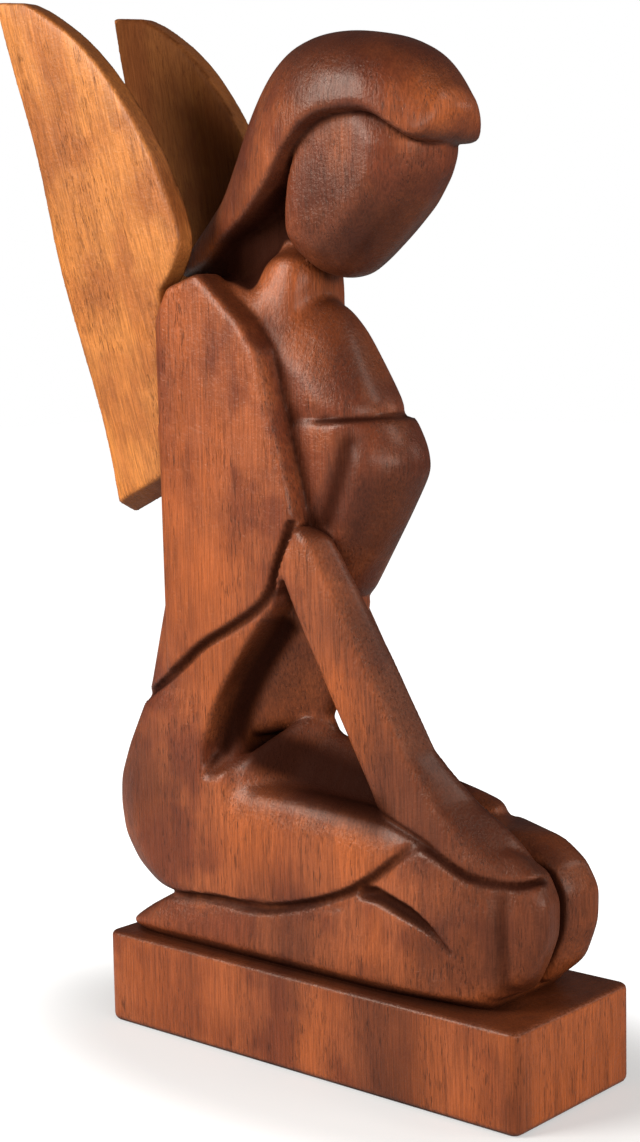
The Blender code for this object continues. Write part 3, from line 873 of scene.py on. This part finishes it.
def grain(n, tilt):
    """The wood's noises by name. Its grain lies along +Z, or leans by tilt degrees in the
    x z plane."""
    place = n.add("ShaderNodeTexCoord").outputs["Object"]
    place = n.add("ShaderNodeMapping", {"Vector": place, "Rotation": (0, math.radians(tilt), 0)})
    place = place.outputs["Vector"]

    def stretched(across, along):
        values = {"Vector": place, "Scale": (across, across, along)}
        return n.add("ShaderNodeMapping", values).outputs["Vector"]

    # growth layers lie round a pith well behind the block, and waver a little
    parts = n.add("ShaderNodeSeparateXYZ", {0: place}).outputs
    from_pith = n.math("ADD", parts[0], PITH_BEHIND)
    radius = n.math("ADD", n.math("MULTIPLY", from_pith, from_pith),
                    n.math("MULTIPLY", parts[1], parts[1]))
    radius = n.math("POWER", radius, 0.5)
    waver = n.noise(stretched(30, 6), 1.0, 2.0)
    radius = n.math("ADD", radius, n.math("MULTIPLY", waver, 0.006))
    values = {0: radius, 1: n.math("MULTIPLY", parts[1], 0.3),
              2: n.math("MULTIPLY", parts[2], 0.03)}
    layers = n.add("ShaderNodeCombineXYZ", values).outputs[0]
    return {
        "growth": n.noise(layers, 620.0, 3.0, 0.62),
        "bands": n.noise(stretched(130, 6), 1.0, 3.0, 0.6, 0.3),
        "broad": n.noise(stretched(48, 7), 1.0, 3.0, 0.55, 0.4),
        "fibre": n.noise(stretched(1900, 75), 1.0, 3.0, 0.65),
        "pore": n.noise(stretched(2900, 260), 1.0, 1.0, 0.5),
        "crowd": n.noise(stretched(120, 22), 1.0, 2.0, 0.5),
        "glow": n.noise(stretched(34, 17), 1.0, 2.0, 0.5),
        "mottle": n.noise(place, 1100.0, 2.0, 0.6),
        "cloud": n.noise(place, 55.0, 3.0, 0.55),
        "tool": n.noise(place, 150.0, 2.0, 0.5),
    }


def deepest(dark):
    """The colour of pores, of gathered staining and of painted shade."""
    return tuple(c * 0.3 for c in dark)


def figured(n, noises, spread, fleck, light, mid, dark, streaks):
    """The wood's colour: patches of its own tone and of painted light and shade, bands, growth
    lines, fibres and pores.
    """
    lightness = n.math("ADD", n.math("MULTIPLY", noises["broad"], 0.45),
                       n.math("MULTIPLY", noises["cloud"], 0.55))
    colour = n.mix(n.ramp(lightness, 0.42, 0.58), (*mid, 1), (*light, 1))
    warm_and_lit = tuple(min(1.0, c * k) for c, k in zip(light, (1.25, 1.15, 0.8)))
    glow = n.math("MULTIPLY", n.ramp(noises["glow"], 0.52, 0.68), 0.6)
    colour = n.mix(glow, colour, (*warm_and_lit, 1))
    # patches of painted light, partly warmer wood, and of painted shade, partly duller wood
    colour = n.mix(n.math("MULTIPLY", spread["warm_and_lit"], 0.85, clamp=True), colour, (*warm_and_lit, 1))
    colour = n.mix(n.math("MULTIPLY", spread["dull_and_shaded"], 0.72, clamp=True), colour, (*dark, 1))
    band = n.math("MULTIPLY", n.ramp(noises["bands"], 0.5, 0.66), streaks)
    colour = n.mix(band, colour, (*dark, 1))
    line = n.math("MULTIPLY", n.ramp(noises["growth"], 0.46, 0.68), 0.2)
    colour = n.mix(line, colour, (*dark, 1))
    tint = n.ramp(noises["fibre"], 0.3, 0.7, 0.72, 1.22)
    shade = n.add("ShaderNodeCombineColor", {0: tint, 1: tint, 2: tint}).outputs[0]
    colour = n.mix(1.0, colour, shade, "MULTIPLY")
    return n.mix(n.math("MULTIPLY", fleck, 0.55), colour, (*deepest(dark), 1))


def end_grain(n, colour, dark):
    """End grain, on the faces that look up or down, takes up more of the staining."""
    facing = n.add("ShaderNodeNewGeometry").outputs["Normal"]
    height = n.add("ShaderNodeSeparateXYZ", {0: facing}).outputs[2]
    share = n.math("MULTIPLY", n.ramp(n.math("ABSOLUTE", height, 0.0), 0.1, 0.85), 0.72)
    return n.mix(share, colour, (*(c * 0.55 for c in dark), 1))


def gathered_stain_and_shade(n, spread):
    """How dark the wood is made by gathered staining and painted shade: in hollows and seams but
    not in the warmer, painted-lit patches, and in grooves.
    """
    stain_and_shade = n.math("MAXIMUM", n.ramp(spread["hollow_stain_and_shade"], 0.04, 0.5), n.ramp(spread["seam_stain_and_shade"], 0.1, 0.4))
    clean = n.math("SUBTRACT", 1.0, n.math("MULTIPLY", spread["warm_and_lit"], 0.75, clamp=True))
    stain_and_shade = n.math("MULTIPLY", stain_and_shade, n.math("MULTIPLY", clean, 0.86))
    return n.math("MAXIMUM", stain_and_shade, n.ramp(spread["groove"], 0.1, 0.8))


def relief(n, noises, fleck):
    """Fine bumps: fibres, growth lines, pores and the marks of tools."""
    height = n.math("MULTIPLY", noises["fibre"], 0.4)
    height = n.math("SUBTRACT", height, n.math("MULTIPLY", noises["growth"], 0.6))
    height = n.math("SUBTRACT", height, n.math("MULTIPLY", fleck, 0.8))
    height = n.math("ADD", height, n.math("MULTIPLY", noises["mottle"], 0.7))
    height = n.math("ADD", height, n.math("MULTIPLY", noises["tool"], 1.5))
    bump = n.add("ShaderNodeBump", {"Strength": 0.5, "Distance": BUMP_DEPTH, "Height": height})
    return bump.outputs["Normal"]


def wood(name, light, mid, dark, streaks, tilt, polish):
    """Satin wood, stained and darkened with painted shade in its hollows, and rubbed pale on its
    arrises.
    """
    n = Nodes(name)
    noises = grain(n, tilt)
    spread = {}
    for attribute in ("hollow_stain_and_shade", "proud", "seam_stain_and_shade", "groove", "warm_and_lit", "dull_and_shaded"):
        node = n.add("ShaderNodeAttribute", attribute_name=attribute)
        spread[attribute] = node.outputs["Fac"]
    fleck = n.math("MULTIPLY", n.ramp(noises["pore"], 0.6, 0.68),
                   n.ramp(noises["crowd"], 0.42, 0.58))
    colour = figured(n, noises, spread, fleck, light, mid, dark, streaks)
    colour = end_grain(n, colour, dark)
    stain_and_shade = gathered_stain_and_shade(n, spread)
    # stain and painted shade gathered in hollows, creases, grooves and valleys
    colour = n.mix(n.math("MULTIPLY", stain_and_shade, 0.97), colour, (*deepest(dark), 1))
    rub = n.math("MULTIPLY", n.ramp(spread["proud"], 0.22, 0.62),
                 n.ramp(noises["mottle"], 0.42, 0.58))
    pale = tuple(min(1.0, c * 1.25 + 0.05) for c in light)
    colour = n.mix(n.math("MULTIPLY", rub, 0.32), colour, (*pale, 1))
    rough = n.ramp(noises["growth"], 0.3, 0.7, polish - 0.03, polish + 0.07)
    rough = n.math("ADD", rough, n.math("MULTIPLY", stain_and_shade, 0.3))

    n.put(n.shader.inputs["Base Color"], colour)
    n.put(n.shader.inputs["Roughness"], rough)
    n.put(n.shader.inputs["Normal"], relief(n, noises, fleck))
    n.put(n.shader.inputs["Specular IOR Level"], n.ramp(stain_and_shade, 0.0, 1.0, 0.3, 0.04))
    n.put(n.shader.inputs["Coat Weight"], n.ramp(stain_and_shade, 0.0, 1.0, 0.12, 0.0))
    n.put(n.shader.inputs["Coat Roughness"], 0.22)
    n.put(n.shader.inputs["Specular Tint"], (1.0, 0.8, 0.68, 1))
    return n.material


# ------------------------ build

body_wood = wood("body_wood", light=(0.37, 0.099, 0.034), mid=(0.19, 0.044, 0.018),
                 dark=(0.070, 0.017, 0.009), streaks=0.2, tilt=0.0, polish=0.37)
wing_wood = wood("wing_wood", light=(0.60, 0.220, 0.055), mid=(0.44, 0.142, 0.036),
                 dark=(0.19, 0.050, 0.014), streaks=0.26, tilt=13.0, polish=0.42)
dowel_wood = wood("dowel_wood", light=(0.62, 0.42, 0.24), mid=(0.52, 0.33, 0.17),
                  dark=(0.34, 0.20, 0.10), streaks=0.2, tilt=90.0, polish=0.55)

body = figure_field()
figure = make_piece("carved_body", body, body_wood, plinth_share(body))
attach(figure, "root")
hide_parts("carved_figure")


def plinth_piece():
    """The plinth with worn rims, its faces cut up so that they can carry the body's staining,
    painted shade and painted light.
    """
    bm = bmesh.new()
    box = Matrix.Diagonal((PLINTH_LENGTH * MM, PLINTH_WIDTH * MM, PLINTH_HEIGHT * MM, 1.0))
    middle = Matrix.Translation((0, 0, PLINTH_HEIGHT * MM / 2))
    bmesh.ops.create_cube(bm, size=1.0, matrix=middle @ box)
    upright = [e for e in bm.edges if abs(e.verts[0].co.z - e.verts[1].co.z) > MM]
    bmesh.ops.bevel(bm, geom=upright, offset=PLINTH_CORNER * MM, segments=6, profile=0.5,
                    affect="EDGES")
    for level, width in ((PLINTH_HEIGHT, PLINTH_TOP_RIM), (0.0, PLINTH_FOOT_RIM)):
        rim = [e for e in bm.edges if all(abs(v.co.z - level * MM) < 1e-6 for v in e.verts)]
        bmesh.ops.bevel(bm, geom=rim, offset=width * MM, segments=4, profile=0.5,
                        affect="EDGES")
    for axis, half in ((0, 70), (1, 22)):
        for place in range(-half, half + 1, PLINTH_CELL):
            spot = [0.0, 0.0, 0.0]
            spot[axis] = place * MM
            direction = [float(k == axis) for k in range(3)]
            everything = bm.verts[:] + bm.edges[:] + bm.faces[:]
            bmesh.ops.bisect_plane(bm, geom=everything, plane_co=spot, plane_no=direction)
    mesh = bpy.data.meshes.new("plinth")
    bm.to_mesh(mesh)
    bm.free()
    mesh.shade_smooth()
    mesh.set_sharp_from_angle(angle=math.radians(40))
    places = np.array([v.co for v in mesh.vertices]) / MM
    add_attributes(mesh, body, places)
    thing = bpy.data.objects.new("carved_plinth", mesh)
    bpy.context.scene.collection.objects.link(thing)
    mesh.materials.append(body_wood)
    return thing


plinth = plinth_piece()
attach(plinth, "root")
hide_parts("carved_figure")

for node_name, side in (("right_wing", -1), ("left_wing", 1)):
    board = make_piece(f"{node_name}_board", wing_field(side), wing_wood)
    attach(board, "root")
    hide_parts(node_name)

for node_name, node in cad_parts.items():
    if node_name.endswith("_dowel"):
        node.data.materials.clear()
        node.data.materials.append(dowel_wood)


# ------------------------ floor, light and camera

FLOOR_HALF = 3.0          # metres
SHADOW_NEAR = 0.085       # the paper glows less near the plinth, so that shadows show there
SHADOW_FAR = 0.16
SHADOW_GLOW = 0.38
WORLD_FILL = 0.07
LAMP_TARGET = (0, 0, 0.14)
LAMP_WHITE = (1.0, 0.92, 0.84)
# name, place, size, power and colour
LAMPS = (
    ("key", (-0.48, -0.82, 0.60), (0.5, 0.5), 12.5, (1.0, 0.94, 0.87)),
    ("top", (0.75, 0.32, 0.9), (0.3, 0.3), 2.2, LAMP_WHITE),
    ("side", (0.74, 0.96, 0.52), (0.4, 0.3), 1.2, LAMP_WHITE),
    ("glint", (0.87, -0.35, 0.35), (1.05, 0.2), 6.0, LAMP_WHITE),
)

AZIMUTH = math.radians(41.2)
ELEVATION = math.radians(6.85)
ROLL = math.radians(-1.17)
DISTANCE = 564.0          # millimetres, like the next two
AIM_HEIGHT = 150.0
SLIDE_RIGHT, SLIDE_UP = -7.8, -13.1
LENS_PER_FRAME = 1.790718  # focal length, in frame heights
SENSOR = 36.0


def backdrop():
    """A white sheet that looks lit from behind, but for an oval round the plinth."""
    mesh = bpy.data.meshes.new("floor")
    turns = ((-1, -1), (1, -1), (1, 1), (-1, 1))
    corners = [(x * FLOOR_HALF, y * FLOOR_HALF, 0) for x, y in turns]
    mesh.from_pydata(corners, [], [(0, 1, 2, 3)])
    paper = bpy.data.materials.new("floor_paper")
    paper.use_nodes = True
    shader = paper.node_tree.nodes["Principled BSDF"]
    shader.inputs["Base Color"].default_value = (0.56, 0.58, 0.60, 1)
    shader.inputs["Roughness"].default_value = 0.9
    shader.inputs["Specular IOR Level"].default_value = 0.1
    shader.inputs["Emission Color"].default_value = (1, 1, 1, 1)
    tree = paper.node_tree
    seen = tree.nodes.new("ShaderNodeLightPath").outputs["Is Camera Ray"]
    spot = tree.nodes.new("ShaderNodeTexCoord").outputs["Object"]
    oval = tree.nodes.new("ShaderNodeMapping")
    oval.inputs["Scale"].default_value = (1.0, 1.7, 1.0)
    tree.links.new(spot, oval.inputs["Vector"])
    away = tree.nodes.new("ShaderNodeVectorMath")
    away.operation = "LENGTH"
    tree.links.new(oval.outputs["Vector"], away.inputs[0])
    ramp = tree.nodes.new("ShaderNodeMapRange")
    ramp.interpolation_type = "SMOOTHSTEP"
    ramp.inputs["From Min"].default_value = SHADOW_NEAR
    ramp.inputs["From Max"].default_value = SHADOW_FAR
    ramp.inputs["To Min"].default_value = SHADOW_GLOW
    ramp.inputs["To Max"].default_value = 1.0
    tree.links.new(away.outputs["Value"], ramp.inputs["Value"])
    glow = tree.nodes.new("ShaderNodeMath")
    glow.operation = "MULTIPLY"
    tree.links.new(ramp.outputs["Result"], glow.inputs[0])
    tree.links.new(seen, glow.inputs[1])
    tree.links.new(glow.outputs[0], shader.inputs["Emission Strength"])
    mesh.materials.append(paper)
    floor = bpy.data.objects.new("floor", mesh)
    bpy.context.scene.collection.objects.link(floor)


def area_light(name, place, size, power, colour):
    """A rectangular lamp that looks at the middle of the object."""
    light = bpy.data.lights.new(name, "AREA")
    light.shape = "RECTANGLE"
    light.size, light.size_y = size
    light.energy = power
    light.color = colour
    lamp = bpy.data.objects.new(name, light)
    lamp.location = place
    aim = Vector(LAMP_TARGET) - Vector(place)
    lamp.rotation_euler = aim.to_track_quat("-Z", "Y").to_euler()
    bpy.context.scene.collection.objects.link(lamp)


def studio():
    backdrop()
    for lamp in LAMPS:
        area_light(*lamp)
    world = bpy.data.worlds.new("studio")
    world.use_nodes = True
    tree = world.node_tree
    shade = tree.nodes["Background"]
    shade.inputs["Color"].default_value = (1, 1, 1, 1)
    seen = tree.nodes.new("ShaderNodeLightPath").outputs["Is Camera Ray"]
    strength = tree.nodes.new("ShaderNodeMapRange")
    strength.inputs["To Min"].default_value = WORLD_FILL
    strength.inputs["To Max"].default_value = 1.0
    tree.links.new(seen, strength.inputs["Value"])
    tree.links.new(strength.outputs["Result"], shade.inputs["Strength"])
    bpy.context.scene.world = world
    bpy.context.scene.view_settings.view_transform = "Standard"


def camera():
    """The photo's point of view."""
    sin_a, cos_a = math.sin(AZIMUTH), math.cos(AZIMUTH)
    sin_e, cos_e = math.sin(ELEVATION), math.cos(ELEVATION)
    back = Vector((sin_a * cos_e, -cos_a * cos_e, sin_e))
    level = Vector((cos_a, sin_a, 0))
    upright = back.cross(level)
    right = math.cos(ROLL) * level + math.sin(ROLL) * upright
    up = math.cos(ROLL) * upright - math.sin(ROLL) * level
    place = Vector((0, 0, AIM_HEIGHT)) + back * DISTANCE + right * SLIDE_RIGHT + up * SLIDE_UP
    data = bpy.data.cameras.new("camera")
    data.sensor_fit = "VERTICAL"
    data.sensor_height = SENSOR
    data.lens = SENSOR * LENS_PER_FRAME
    data.clip_start = 0.01
    shot = bpy.data.objects.new("camera", data)
    turn = Matrix((right, up, back)).transposed().to_4x4()
    shot.matrix_world = Matrix.Translation(place * MM) @ turn
    bpy.context.scene.collection.objects.link(shot)
    bpy.context.scene.camera = shot


studio()
camera()
